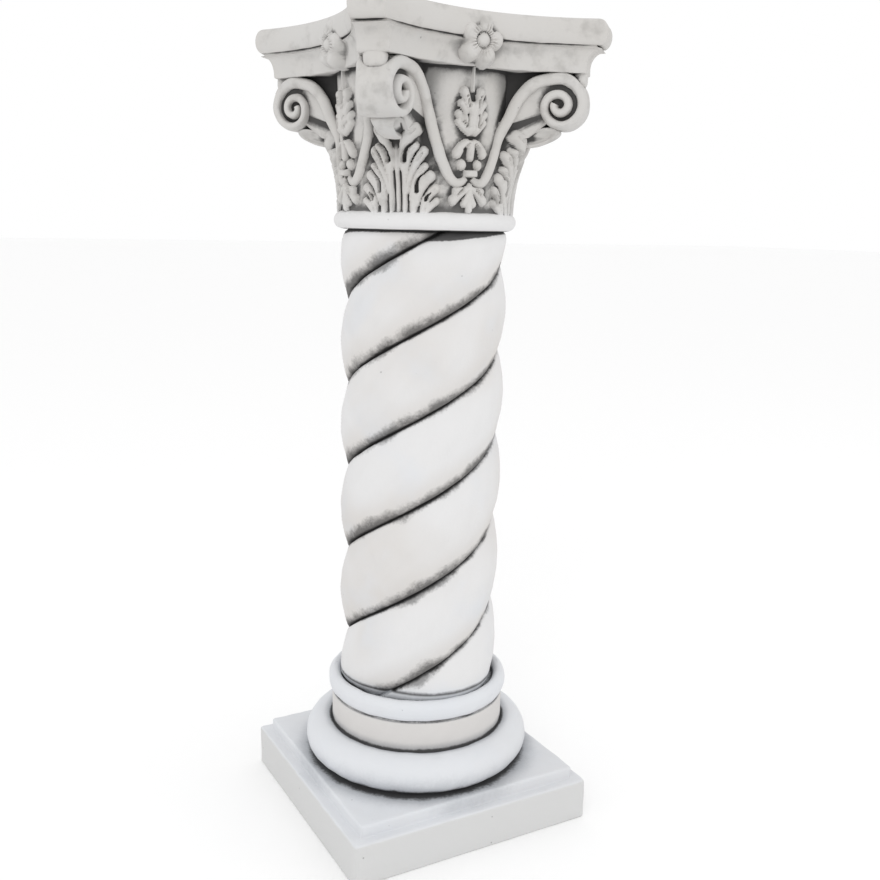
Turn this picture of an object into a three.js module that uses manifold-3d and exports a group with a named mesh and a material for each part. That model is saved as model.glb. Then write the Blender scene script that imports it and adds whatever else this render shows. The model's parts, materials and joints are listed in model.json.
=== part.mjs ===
// Garden column with a twisted shaft, cast as one block of pale stone.
// It stands on a square plinth, with its origin at the middle of the underside and +Z up.
// Millimetres and degrees.
import * as THREE from 'three';
import { mergeVertices } from 'three/addons/utils/BufferGeometryUtils.js';
import Module from 'manifold-3d';

// Plinth: a square slab with a smaller step on it
const HEIGHT = 800;
const PLINTH_WIDTH = 267.5;
const SLAB_HEIGHT = 42.6;
const SLAB_EDGE = 2.5;
const STEP_WIDTH = 245.6;
const STEP_HEIGHT = 12.5;
const STEP_EDGE = 2;

// Round mouldings of the base: a fat torus, a plain drum and a half-round ring
const TORUS_RADIUS = 119.5;
const TORUS_WIDTH = 19;
const TORUS_HEIGHT = 39.2;
const TORUS_FROM_ANGLE = -62;
const TORUS_TO_ANGLE = 105;
const DRUM_RADIUS = 91.5;
const DRUM_TOP = 126;
const RING_RADIUS = 95.2;
const RING_WIDTH = 6.8;
const RING_MIDDLE = 138;
const RING_BELOW = 12.7;
const RING_ABOVE = 8.7;
const RING_FROM_ANGLE = -62;
const RING_TO_ANGLE = 160;

// Shaft: three bulging strands, laid as a right-handed twist that tightens upwards
const SHAFT_FOOT = 136;
const SHAFT_HEAD = 611;
const STRANDS = 3;
const STRAND_RADIUS = 68.3;
const STRAND_OFFSET = 14.7;
const GROOVE_CUT = 2;
const GROOVE_BEARING_AT_FOOT = -34.8;
const TWIST_PITCH_AT_FOOT = 280;
const TWIST_PITCH_AT_HEAD = 246.5;
const STRAND_END_ROUND = 14;
const STRAND_END_DROP = 5;

// Capital: a half-round astragal, a flaring bell and an abacus with hollow sides
const ASTRAGAL_RADIUS = 90.2;
const ASTRAGAL_WIDTH = 9;
const ASTRAGAL_HEIGHT = 17;
const ASTRAGAL_MIDDLE = 618.6;
const BELL_FOOT_RADIUS = 82;
const BELL_HEAD_RADIUS = 87;
const BELL_FOOT = 624;
const BELL_HEAD = 757;
const ABACUS_FOOT = 754;
const ABACUS_GROOVE = 776.7;
const ABACUS_CORNER = 174;
const ABACUS_CHAMFER = 32;
const ABACUS_HOLLOW = 103;
const FASCIA_CORNER = 168.5;
const FASCIA_FOOT_CORNER = 155;
const FASCIA_FOOT_BAND = 4;
const FASCIA_HEAD_BAND = 1.5;
const FASCIA_LIP = 1;
const GROOVE_DEPTH = 3.5;
const CROWN_WIDTH = 8;

// Corner scrolls: a rolled band between the bell and each corner of the abacus
const SCROLL_EYE_REACH = 132.5;
const SCROLL_EYE_HEIGHT = 725;
const SCROLL_START = 30;
const SCROLL_SHRINK_PER_TURN = 0.49;
const SCROLL_TURNS = 1.75;
const SCROLL_BAND = 0.34;
const SCROLL_FRONT_WIDTH = 30;
const SCROLL_FRONT_REACH = 157;
const SCROLL_FLARE = 0.27;
const SCROLL_HOLLOW = 5;
const SCROLL_ROOT = 70;
const SCROLL_WEB_TURN = 200;
const SCROLL_WEB_SHARE = 0.9;
const SCROLL_BOSS_TURN = 240;
const SCROLL_BOSS_SHARE = 0.1;

// Ribbons: [degrees from the side's middle, height] on the bell, then [reach, height] along the scroll
const RIBBON_RADIUS = 5;
const RIBBON_ON_BELL = [[3, 653], [8, 652], [13.5, 659], [19, 675], [24, 694]];
const RIBBON_ON_SCROLL = [[91, 716], [101, 733], [114, 747], [132.5, 751]];

// Acanthus leaf under each scroll
const LEAF_ROOT = 70;
const LEAF_FOOT = 622;
const LEAF_STAND = 2;
const LEAF_LEAN = 0.0036;
const LEAF_LEAN_POWER = 1.9;
const LEAF_RIB_RISE = 4;
const LEAF_RIB_WIDTH = 26;
const LEAF_LIP_WIDTH = 32;
const LEAF_LIP_REACH = 126;
const LEAF_LIP_HEIGHT = 700;
const LEAF_LIP_RADIUS = 8;
const FINGERS = 4;
const FINGER_RISE = 7;
const FINGER_SPACING = 0.8;
const TOP_FINGER = { tipTurn: 11, tipHeight: 699, rootTurn: 4, rootHeight: 652, width: 11 };
const LOW_FINGER = { tipTurn: 24.5, tipHeight: 636, rootTurn: 12, rootHeight: 625, width: 9 };

// Flower on each side of the abacus
const FLOWER_PETALS = 5;
const FLOWER_RADIUS = 22;
const FLOWER_HEIGHT = 775;
const FLOWER_LEAN = 78;
const FLOWER_RISE = 6;
const FLOWER_BOSS = 0.28;
const PETAL_NOTCH = 0.3;

// Garland under each flower: [across, height] of both ends of a lump of carving, its width and its rise
const STEM = { from: [0, 728], to: [0, 762], width: 5, rise: 3.5 };
const HUSK = { from: [0, 690], to: [0, 732], width: 18, rise: 8 };
const HANGING_LEAF = { from: [0, 625], to: [0, 651], width: 11, rise: 5 };
const CLASP = { from: [0, 651], to: [0, 668], width: 13, rise: 8 };
const HUSK_SIDE = { from: [4, 702], to: [11, 737], width: 9, rise: 6 };
const SMALL_LEAF = { from: [2, 691], to: [12, 677], width: 9, rise: 5 };
const BERRY = { from: [9, 662], to: [9, 676], width: 13, rise: 8 };
const SIDE_LEAF = { from: [4, 650], to: [18, 637], width: 10, rise: 5 };
const CARVING_RAISE = 0.5;

const rad = THREE.MathUtils.degToRad;
const lerp = THREE.MathUtils.lerp;
const wasm = await Module();
wasm.setup();

// A closed geometry as a solid that can be joined to others
function solid(geometry) {
  const bare = geometry.index ? geometry.toNonIndexed() : geometry;
  bare.deleteAttribute('normal');
  bare.deleteAttribute('uv');
  const merged = mergeVertices(bare, 1e-3);
  const corners = merged.index.array;
  const triangles = [];
  for (let i = 0; i < corners.length; i += 3) {
    const [a, b, c] = [corners[i], corners[i + 1], corners[i + 2]];
    if (a !== b && b !== c && c !== a) triangles.push(a, b, c);
  }
  const mesh = new wasm.Mesh({
    numProp: 3,
    vertProperties: new Float32Array(merged.attributes.position.array),
    triVerts: new Uint32Array(triangles),
  });
  mesh.merge();
  return new wasm.Manifold(mesh);
}

// Turns a profile of [radius, height] points, bottom to top, around the column's axis
function turned(profile, sides) {
  const points = [[0, profile[0][1]], ...profile, [0, profile.at(-1)[1]]];
  const lathe = new THREE.LatheGeometry(points.map(([r, z]) => new THREE.Vector2(r, z)), sides);
  return lathe.rotateX(Math.PI / 2);
}

// Moves every vertex of a geometry to the place that a function gives for it
function reshaped(geometry, place) {
  const position = geometry.attributes.position;
  const point = new THREE.Vector3();
  for (let i = 0; i < position.count; i++) {
    point.fromBufferAttribute(position, i);
    place(point);
    position.setXYZ(i, point.x, point.y, point.z);
  }
  return geometry;
}

// Points of an elliptic arc as [radius, height], from one angle to another
function arc(radius, height, wide, tall, from, to, steps) {
  return Array.from({ length: steps + 1 }, (_, i) => {
    const angle = rad(lerp(from, to, i / steps));
    return [radius + wide * Math.cos(angle), height + tall * Math.sin(angle)];
  });
}

const STEP_TOP = SLAB_HEIGHT + STEP_HEIGHT;

// Square slab with its step, as four-sided turned work
function plinth() {
  const slabHalf = PLINTH_WIDTH / 2;
  const stepHalf = STEP_WIDTH / 2;
  const profile = [
    [slabHalf, 0],
    [slabHalf, SLAB_HEIGHT - SLAB_EDGE],
    [slabHalf - SLAB_EDGE, SLAB_HEIGHT],
    [stepHalf, SLAB_HEIGHT],
    [stepHalf, STEP_TOP - STEP_EDGE],
    [stepHalf - STEP_EDGE, STEP_TOP],
  ];
  const toCorner = profile.map(([half, z]) => [half * Math.SQRT2, z]);
  return solid(turned(toCorner, 4).rotateZ(Math.PI / 4));
}

// Torus, drum and ring under the shaft: the ring falls again behind its crest, so that a channel is left
function baseMouldings() {
  const sunk = 3;
  const sides = 26;
  const torus = arc(TORUS_RADIUS - TORUS_WIDTH, STEP_TOP + TORUS_HEIGHT / 2, TORUS_WIDTH, TORUS_HEIGHT / 2,
    TORUS_FROM_ANGLE, TORUS_TO_ANGLE, 6);
  const neck = [torus[0][0] - 1, STEP_TOP - sunk];
  const drum = [[DRUM_RADIUS, torus.at(-1)[1]], [DRUM_RADIUS, DRUM_TOP]];
  const ringCentre = RING_RADIUS - RING_WIDTH;
  const ringBelow = arc(ringCentre, RING_MIDDLE, RING_WIDTH, RING_BELOW,
    RING_FROM_ANGLE, RING_FROM_ANGLE / 3, 2);
  const ringAbove = arc(ringCentre, RING_MIDDLE, RING_WIDTH, RING_ABOVE, 0, RING_TO_ANGLE, 4);
  return solid(turned([neck, ...torus, ...drum, ...ringBelow, ...ringAbove], sides));
}

// Bearing of the first groove at a height: its rate grows evenly from the foot to the head
function grooveBearing(z) {
  const rise = z - SHAFT_FOOT;
  const footRate = 360 / TWIST_PITCH_AT_FOOT;
  const headRate = 360 / TWIST_PITCH_AT_HEAD;
  const growth = (headRate - footRate) / (SHAFT_HEAD - SHAFT_FOOT);
  return GROOVE_BEARING_AT_FOOT + footRate * rise + growth * rise * rise / 2;
}

// Radius of the strands: three arcs set off from the axis, rounded in at both ends
function strandRadius(fromGroove, z) {
  const span = 360 / STRANDS;
  const fromCrest = rad(THREE.MathUtils.euclideanModulo(fromGroove, span) - span / 2);
  const side = STRAND_OFFSET * Math.sin(fromCrest);
  const round = STRAND_OFFSET * Math.cos(fromCrest) + Math.sqrt(STRAND_RADIUS ** 2 - side ** 2);
  const toEnd = Math.min(z - SHAFT_FOOT, SHAFT_HEAD - z) / STRAND_END_ROUND;
  const past = 1 - THREE.MathUtils.clamp(toEnd, 0, 1);
  return round - STRAND_END_DROP * (1 - Math.sqrt(1 - past * past));
}

// Twisted shaft: every level of a plain turned bar takes the strands' section, turned with the groove
function shaft() {
  const sidesPerStrand = 7;
  const levels = 22;
  const sunk = 5;
  const sides = STRANDS * sidesPerStrand;
  const profile = [[1, SHAFT_FOOT - sunk]];
  for (let i = 0; i <= levels; i++) {
    const even = i / levels;
    const crowded = even - 0.04 * Math.sin(4 * Math.PI * even) / 2;
    profile.push([1, lerp(SHAFT_FOOT, SHAFT_HEAD, crowded)]);
  }
  profile.push([1, SHAFT_HEAD + sunk]);
  return solid(reshaped(turned(profile, sides), (point) => {
    const onAxis = Math.hypot(point.x, point.y) < 0.5;
    if (onAxis) return;
    const side = Math.round((Math.atan2(point.y, point.x) / Math.PI + 0.5) * sides / 2);
    const fromGroove = side * 360 / sides;
    const cut = side % sidesPerStrand === 0 ? GROOVE_CUT : 0;
    const radius = strandRadius(fromGroove, point.z) - cut;
    const bearing = rad(grooveBearing(point.z) + fromGroove);
    point.x = radius * Math.cos(bearing);
    point.y = radius * Math.sin(bearing);
  }));
}

// Radius of the bell at a height
function bellRadius(z) {
  const up = THREE.MathUtils.clamp((z - BELL_FOOT) / (BELL_HEAD - BELL_FOOT), 0, 1);
  return lerp(BELL_FOOT_RADIUS, BELL_HEAD_RADIUS, up);
}

// Half-round astragal and the bell that flares up from it
function bell() {
  const sides = 20;
  const astragal = arc(ASTRAGAL_RADIUS - ASTRAGAL_WIDTH, ASTRAGAL_MIDDLE, ASTRAGAL_WIDTH, ASTRAGAL_HEIGHT / 2,
    -90, 80, 5);
  const flareFoot = astragal.at(-1)[1] + 1;
  const flare = [flareFoot, BELL_HEAD].map((z) => [bellRadius(z), z]);
  return solid(turned([...astragal, ...flare], sides));
}

// Abacus: hollow sides drawn as arcs between chamfered corners, the same plan scaled at each level
function abacus() {
  const sideSteps = 6;
  const pointsPerSide = sideSteps + 1;
  const half = ABACUS_CORNER * Math.SQRT1_2 - ABACUS_CHAMFER * Math.SQRT1_2 / 2;
  const reach = ABACUS_CORNER * Math.SQRT1_2 + ABACUS_CHAMFER * Math.SQRT1_2 / 2;
  const hollow = reach - ABACUS_HOLLOW;
  const sweep = (half * half + hollow * hollow) / (2 * hollow);
  const spread = Math.asin(half / sweep);
  const coveFoot = ABACUS_FOOT + FASCIA_FOOT_BAND;
  const coveCorner = FASCIA_CORNER - FASCIA_LIP;
  const crownHeight = HEIGHT - ABACUS_GROOVE;
  const profile = [
    [FASCIA_FOOT_CORNER, ABACUS_FOOT],
    ...arc(coveCorner, coveFoot, FASCIA_FOOT_CORNER - coveCorner,
      ABACUS_GROOVE - FASCIA_HEAD_BAND - coveFoot, 0, 75, 3),
    [FASCIA_CORNER - GROOVE_DEPTH, ABACUS_GROOVE],
    ...arc(ABACUS_CORNER - CROWN_WIDTH, HEIGHT - crownHeight / 2, CROWN_WIDTH, crownHeight / 2, -60, 90, 4),
  ];
  const sides = 4 * pointsPerSide;
  return solid(reshaped(turned(profile, sides), (point) => {
    const scale = Math.hypot(point.x, point.y) / ABACUS_CORNER;
    if (scale < 0.01) return;
    const index = Math.round((Math.atan2(point.y, point.x) / Math.PI + 0.5) * sides / 2 + sides) % sides;
    const sideTurn = Math.floor(index / pointsPerSide) * Math.PI / 2;
    const angle = lerp(-spread, spread, (index % pointsPerSide) / sideSteps);
    const across = sweep * Math.sin(angle) * scale;
    const out = (ABACUS_HOLLOW + sweep * (1 - Math.cos(angle))) * scale;
    point.x = across * Math.cos(sideTurn) + out * Math.sin(sideTurn);
    point.y = across * Math.sin(sideTurn) - out * Math.cos(sideTurn);
  }));
}

// A direction in plan at a bearing, and the column's upward direction
const toward = (bearing) => new THREE.Vector3(Math.cos(rad(bearing)), Math.sin(rad(bearing)), 0);
const UP = new THREE.Vector3(0, 0, 1);

// A point at a bearing, a distance from the axis and a height
const at = (bearing, reach, z) => toward(bearing).multiplyScalar(reach).setZ(z);

// A ridged lump of carving between two points, with its width and its rise towards a direction
function lump(from, to, width, rise, outward) {
  const along = to.clone().sub(from).multiplyScalar(0.5);
  const across = along.clone().cross(outward).setLength(width / 2);
  const out = across.clone().cross(along).setLength(rise);
  const place = new THREE.Matrix4().makeBasis(across, along, out);
  place.setPosition(from.clone().add(to).multiplyScalar(0.5));
  return solid(new THREE.SphereGeometry(1, 4, 3).applyMatrix4(place));
}

// An outline in the upright plane of a corner's diagonal, given a width that may change over it
function upright(outline, bearing, widthAt) {
  const shape = new THREE.Shape(outline.map(([reach, z]) => new THREE.Vector2(reach, z)));
  const plate = new THREE.ExtrudeGeometry(shape, { depth: 1, bevelEnabled: false });
  const side = toward(bearing + 90);
  return solid(reshaped(plate, (point) => {
    const offset = (0.5 - point.z) * widthAt(point.x, point.y);
    const placed = at(bearing, point.x, point.y).addScaledVector(side, offset);
    point.copy(placed);
  }));
}

// A point of the scroll's spiral after a turn from its top, at a share of the spiral's radius
function spiralPoint(turn, share) {
  const radius = SCROLL_START * SCROLL_SHRINK_PER_TURN ** (turn / 360) * share;
  const angle = rad(90 - turn);
  return [SCROLL_EYE_REACH + radius * Math.cos(angle), SCROLL_EYE_HEIGHT + radius * Math.sin(angle)];
}

// Width of the scroll at a distance from the axis: it widens inwards
const scrollWidth = (reach) => SCROLL_FRONT_WIDTH + 2 * SCROLL_FLARE * (SCROLL_FRONT_REACH - reach);

// Corner scroll: a recessed web and the rolled band standing proud of it on both sides.
// The band's inner edge runs in to the eye over the last turn, so that the roll ends in a boss.
function scroll(bearing) {
  const web = [[SCROLL_ROOT, SCROLL_EYE_HEIGHT + SCROLL_START]];
  for (let turn = 0; turn <= SCROLL_WEB_TURN; turn += 40) web.push(spiralPoint(turn, SCROLL_WEB_SHARE));
  web.push([SCROLL_ROOT, SCROLL_EYE_HEIGHT - SCROLL_START]);
  const lastTurn = SCROLL_TURNS * 360;
  const outer = [];
  const within = [];
  for (let turn = 0; turn <= lastTurn; turn += turn < 270 ? 30 : 60) {
    const close = THREE.MathUtils.smoothstep(turn, lastTurn - SCROLL_BOSS_TURN, lastTurn);
    outer.push(spiralPoint(turn, 1));
    within.unshift(spiralPoint(turn, lerp(1 - SCROLL_BAND, SCROLL_BOSS_SHARE, close)));
  }
  const hollowWidth = (reach) => scrollWidth(reach) - 2 * SCROLL_HOLLOW;
  return [
    upright(web.reverse(), bearing, hollowWidth),
    upright([...outer, ...within].reverse(), bearing, scrollWidth),
  ];
}

// Ribbon of one side: it leaves the clasp, climbs the bell in an S and runs into the scroll's top
function ribbon(faceBearing, hand) {
  const corner = faceBearing + hand * 45;
  const sunk = 1;
  const steps = 6;
  const route = RIBBON_ON_BELL.map(([turn, z]) => at(faceBearing + hand * turn, bellRadius(z) + sunk, z));
  for (const [reach, z] of RIBBON_ON_SCROLL) {
    const aside = toward(corner + 90).multiplyScalar(-hand * (scrollWidth(reach) / 2 - RIBBON_RADIUS + sunk));
    route.push(at(corner, reach, z).add(aside));
  }
  const section = new THREE.Shape(arc(0, 0, RIBBON_RADIUS, RIBBON_RADIUS, 0, 270, 3)
    .map(([x, y]) => new THREE.Vector2(x, y)));
  const extrudePath = new THREE.CatmullRomCurve3(route);
  return solid(new THREE.ExtrudeGeometry(section, { steps, extrudePath, bevelEnabled: false }));
}

// Radius of the acanthus leaf's face at a height: it leans away from the bell as it climbs
function leafRadius(z) {
  return BELL_FOOT_RADIUS + LEAF_STAND + LEAF_LEAN * Math.max(z - BELL_FOOT, 0) ** LEAF_LEAN_POWER;
}

// Acanthus leaf: an upright rib whose tip rolls out under the scroll, and rounded fingers on both sides
function leaf(bearing) {
  const rise = 15;
  const lipFoot = LEAF_LIP_HEIGHT - rise;
  const rib = [[LEAF_ROOT, LEAF_FOOT]];
  for (let z = LEAF_FOOT; z <= lipFoot; z += rise) rib.push([leafRadius(z) + LEAF_RIB_RISE, z]);
  rib.push(...arc(LEAF_LIP_REACH, LEAF_LIP_HEIGHT, LEAF_LIP_RADIUS, LEAF_LIP_RADIUS, -100, 80, 5));
  rib.push([LEAF_ROOT, LEAF_LIP_HEIGHT + LEAF_LIP_RADIUS + 1]);
  const ribWidth = (reach, z) => lerp(LEAF_RIB_WIDTH, LEAF_LIP_WIDTH,
    THREE.MathUtils.smoothstep(z, LEAF_FOOT, lipFoot));
  const carving = [upright(rib, bearing, ribWidth)];
  for (let i = 0; i < FINGERS; i++) {
    const down = i / (FINGERS - 1);
    const between = (value, share) => lerp(TOP_FINGER[value], LOW_FINGER[value], share);
    const tipTurn = between('tipTurn', down ** FINGER_SPACING);
    const tipHeight = between('tipHeight', down);
    const rootTurn = between('rootTurn', down);
    const rootHeight = between('rootHeight', down);
    for (const hand of [-1, 1]) {
      const tip = at(bearing + hand * tipTurn, leafRadius(tipHeight), tipHeight);
      const root = at(bearing + hand * rootTurn, leafRadius(rootHeight), rootHeight);
      const outward = toward(bearing + hand * (tipTurn + rootTurn) / 2);
      carving.push(lump(root, tip, between('width', down), FINGER_RISE, outward));
    }
  }
  return carving;
}

// Flower over the middle of one side of the abacus: a dome with one swelling for each petal, and a boss
function flower(faceBearing) {
  const sidesPerPetal = 3;
  const sunk = 6;
  const profile = [
    [FLOWER_RADIUS, -sunk],
    [FLOWER_RADIUS, FLOWER_RISE * 0.4],
    [FLOWER_RADIUS * 0.6, FLOWER_RISE],
    [FLOWER_RADIUS * (FLOWER_BOSS + 0.02), FLOWER_RISE * 0.4],
    [FLOWER_RADIUS * FLOWER_BOSS, FLOWER_RISE * 1.2],
  ];
  const out = toward(faceBearing);
  const right = toward(faceBearing + 90);
  const middle = at(faceBearing, ABACUS_HOLLOW - 1, FLOWER_HEIGHT);
  return solid(reshaped(turned(profile, FLOWER_PETALS * sidesPerPetal), (point) => {
    const angle = Math.atan2(point.y, point.x) + rad(90);
    const radius = Math.hypot(point.x, point.y);
    const onPetal = radius > FLOWER_RADIUS * 0.5 ? 1 : 0;
    const share = 1 - PETAL_NOTCH * onPetal * Math.abs(Math.cos(angle * FLOWER_PETALS / 2)) ** 3;
    const bearing = angle + rad(FLOWER_LEAN + 180 / FLOWER_PETALS);
    const height = point.z;
    point.copy(middle)
      .addScaledVector(right, radius * share * Math.cos(bearing))
      .addScaledVector(UP, radius * share * Math.sin(bearing))
      .addScaledVector(out, height * share);
  }));
}

// Garland under a flower: its middle pieces, and its paired pieces on both sides of them
function garland(faceBearing) {
  const out = toward(faceBearing);
  const spot = ([across, z], hand) => {
    const radius = bellRadius(z) + CARVING_RAISE;
    return at(faceBearing + THREE.MathUtils.radToDeg(hand * across / radius), radius, z);
  };
  const piece = ({ from, to, width, rise }, hand) => lump(spot(from, hand), spot(to, hand), width, rise, out);
  const carving = [STEM, HUSK, HANGING_LEAF, CLASP].map((form) => piece(form, 1));
  for (const hand of [-1, 1]) {
    for (const form of [HUSK_SIDE, SMALL_LEAF, BERRY, SIDE_LEAF]) carving.push(piece(form, hand));
  }
  return carving;
}

const FACES = [-90, 0, 90, 180];
const CORNERS = [-45, 45, 135, -135];
const blocks = [plinth(), baseMouldings(), shaft(), bell(), abacus()];
for (const face of FACES) blocks.push(flower(face), ...garland(face), ribbon(face, -1), ribbon(face, 1));
for (const corner of CORNERS) blocks.push(...scroll(corner), ...leaf(corner));
const joined = wasm.Manifold.union(blocks).decompose();
const casting = joined.sort((a, b) => b.volume() - a.volume())[0].getMesh();

const geometry = new THREE.BufferGeometry();
geometry.setAttribute('position', new THREE.BufferAttribute(casting.vertProperties, 3));
geometry.setIndex(new THREE.BufferAttribute(casting.triVerts, 1));
geometry.computeVertexNormals();

const stone = new THREE.MeshStandardMaterial({ color: 0xd8d6d1, roughness: 0.85, metalness: 0 });
const column = new THREE.Mesh(geometry, stone);
column.name = 'column';

const gardenColumn = new THREE.Group();
gardenColumn.add(column);
export default gardenColumn;
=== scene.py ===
import json

import bpy
import numpy as np
from mathutils import Matrix, Vector

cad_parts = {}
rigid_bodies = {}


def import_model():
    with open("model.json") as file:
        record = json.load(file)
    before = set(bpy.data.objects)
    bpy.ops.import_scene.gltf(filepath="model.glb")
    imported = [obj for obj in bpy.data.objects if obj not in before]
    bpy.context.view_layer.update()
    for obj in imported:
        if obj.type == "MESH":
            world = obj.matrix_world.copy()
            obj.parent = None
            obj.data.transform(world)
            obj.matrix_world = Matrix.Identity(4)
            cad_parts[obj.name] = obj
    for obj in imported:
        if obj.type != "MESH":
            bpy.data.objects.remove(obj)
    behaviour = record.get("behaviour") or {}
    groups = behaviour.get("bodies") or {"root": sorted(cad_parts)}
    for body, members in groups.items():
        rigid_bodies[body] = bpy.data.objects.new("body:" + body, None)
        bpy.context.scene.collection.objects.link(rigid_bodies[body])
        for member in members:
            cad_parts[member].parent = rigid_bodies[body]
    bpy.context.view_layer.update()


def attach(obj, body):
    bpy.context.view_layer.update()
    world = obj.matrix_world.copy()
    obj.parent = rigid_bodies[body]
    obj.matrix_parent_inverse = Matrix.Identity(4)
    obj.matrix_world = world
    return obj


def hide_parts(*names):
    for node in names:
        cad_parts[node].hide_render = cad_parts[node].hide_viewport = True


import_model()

# Studio: a pale seamless floor, a wide soft light from above on the left, a weaker fill on the
# right, and the camera at the height of the shaft's head, looking down on the near corner.
CAMERA_PLACE = (-0.4885, -0.9149, 0.6159)
CAMERA_RIGHT = Vector((0.87499, -0.48369, 0.02099))
CAMERA_UP = Vector((0.08208, 0.19092, 0.97817))
CAMERA_BACK = Vector((-0.47714, -0.85416, 0.20675))
LENS = 41.75
SENSOR_WIDTH = 36
FLOOR_SIZE = 60.0
FLOOR_COLOUR = (0.97, 0.97, 0.97, 1)
FLOOR_ROUGHNESS = 0.9
LAMP_TARGET = Vector((0, 0, 0.4))
# Each lamp: its place, its size and its power
LAMPS = {
    "key_light": ((-1.5, -1.9, 2.2), 1.6, 12),
    "fill_light": ((1.9, -1.3, 1.3), 2.0, 3),
}
SKY_STRENGTH = 1.0

scene = bpy.context.scene
scene.view_settings.view_transform = "Standard"
camera = bpy.data.objects.new("camera", bpy.data.cameras.new("camera"))
camera.data.lens = LENS
camera.data.sensor_width = SENSOR_WIDTH
camera_turn = Matrix((CAMERA_RIGHT, CAMERA_UP, CAMERA_BACK)).transposed().to_4x4()
camera.matrix_world = Matrix.Translation(CAMERA_PLACE) @ camera_turn
scene.collection.objects.link(camera)
scene.camera = camera

for lamp_name, (lamp_place, lamp_size, lamp_power) in LAMPS.items():
    lamp = bpy.data.objects.new(lamp_name, bpy.data.lights.new(lamp_name, "AREA"))
    lamp.data.size = lamp_size
    lamp.data.energy = lamp_power
    lamp.location = lamp_place
    lamp.rotation_euler = (LAMP_TARGET - lamp.location).to_track_quat("-Z", "Y").to_euler()
    scene.collection.objects.link(lamp)

world = bpy.data.worlds.new("studio")
scene.world = world
world.use_nodes = True
world.node_tree.nodes["Background"].inputs["Color"].default_value = (1, 1, 1, 1)
world.node_tree.nodes["Background"].inputs["Strength"].default_value = SKY_STRENGTH

floor_mesh = bpy.data.meshes.new("floor")
half_floor = FLOOR_SIZE / 2
floor_corners = [
    (-half_floor, -half_floor, 0),
    (half_floor, -half_floor, 0),
    (half_floor, half_floor, 0),
    (-half_floor, half_floor, 0),
]
floor_mesh.from_pydata(floor_corners, [], [(0, 1, 2, 3)])
floor = bpy.data.objects.new("floor", floor_mesh)
floor_paint = bpy.data.materials.new("pale_floor")
floor_paint.use_nodes = True
floor_paint.node_tree.nodes["Principled BSDF"].inputs["Base Color"].default_value = FLOOR_COLOUR
floor_paint.node_tree.nodes["Principled BSDF"].inputs["Roughness"].default_value = FLOOR_ROUGHNESS
floor_mesh.materials.append(floor_paint)
scene.collection.objects.link(floor)

# Plinth: the square foot of the casting, a slab with a smaller step on it, poured in the same
# mould as the rest. Its arrises are a little rounded.
PLINTH_WIDTH = 267.5
SLAB_HEIGHT = 42.6
STEP_WIDTH = 245.6
STEP_TOP = 55.1
FOOT_ROUND = 1.2
SLAB_ROUND = 2.6
STEP_ROUND = 2.2
INNER_CHAMFER = 0.6
SQUARENESS = 90
CORNER_CROWDING = 1.6
POINTS_PER_CORNER = 28
PLINTH_TOP_ROWS = 18
carving = bpy.data.collections.new("carving")


def shell(name, loops):
    """Closed skin over a grid of points in millimetres: every row is a loop, each row is joined to the
    next, and a point in the middle of the first and of the last row closes the ends. The faces are
    turned outwards by the sign of the volume that they enclose."""
    rows, columns = loops.shape[:2]
    ends = loops[[0, -1]].mean(axis=1)
    points = np.concatenate([loops.reshape(-1, 3), ends])
    here = np.arange(rows * columns).reshape(rows, columns)
    beside = np.roll(here, -1, axis=1)
    quads = np.stack([here[:-1], beside[:-1], beside[1:], here[1:]], axis=-1).reshape(-1, 4)
    first = np.stack([beside[0], here[0], np.full(columns, rows * columns)], axis=-1)
    last = np.stack([here[-1], beside[-1], np.full(columns, rows * columns + 1)], axis=-1)
    triangles = np.concatenate([quads[:, [0, 1, 2]], quads[:, [0, 2, 3]], first, last])
    a, b, c = points[triangles].transpose(1, 0, 2)
    if np.einsum("ij,ij->i", a, np.cross(b, c)).sum() < 0:
        triangles = triangles[:, ::-1]
    mesh = bpy.data.meshes.new(name)
    mesh.vertices.add(len(points))
    mesh.vertices.foreach_set("co", (points * 0.001).ravel())
    mesh.loops.add(triangles.size)
    mesh.loops.foreach_set("vertex_index", triangles.ravel())
    mesh.polygons.add(len(triangles))
    mesh.polygons.foreach_set("loop_start", np.arange(len(triangles)) * 3)
    mesh.update(calc_edges=True)
    piece = bpy.data.objects.new(name, mesh)
    carving.objects.link(piece)
    return piece


def arc(middle, wide, tall, start, stop, steps):
    """Points of an ellipse's arc in a profile: the middle, plus wide times the cosine across and tall times
    the sine upwards."""
    angle = np.radians(np.linspace(start, stop, steps))
    return np.stack([middle[0] + wide * np.cos(angle), middle[1] + tall * np.sin(angle)], axis=-1)


def square_loops(profile, points_per_corner):
    """A profile of half widths and heights carried round a square: the plan is a superellipse, which is
    a square with slightly rounded corners, and its points crowd towards the corners."""
    step = np.linspace(-1, 1, points_per_corner, endpoint=False)
    offset = 45 * np.sign(step) * np.abs(step) ** CORNER_CROWDING
    angle = np.radians((np.array([45, 135, 225, 315])[:, None] + offset).ravel())
    out = (np.abs(np.cos(angle)) ** SQUARENESS + np.abs(np.sin(angle)) ** SQUARENESS) ** (-1 / SQUARENESS)
    plan = np.stack([out * np.cos(angle), out * np.sin(angle)], axis=-1)
    flat = profile[:, None, :1] * plan
    level = np.broadcast_to(profile[:, None, 1:], flat.shape[:2] + (1,))
    return np.concatenate([flat, level], axis=-1)


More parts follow.
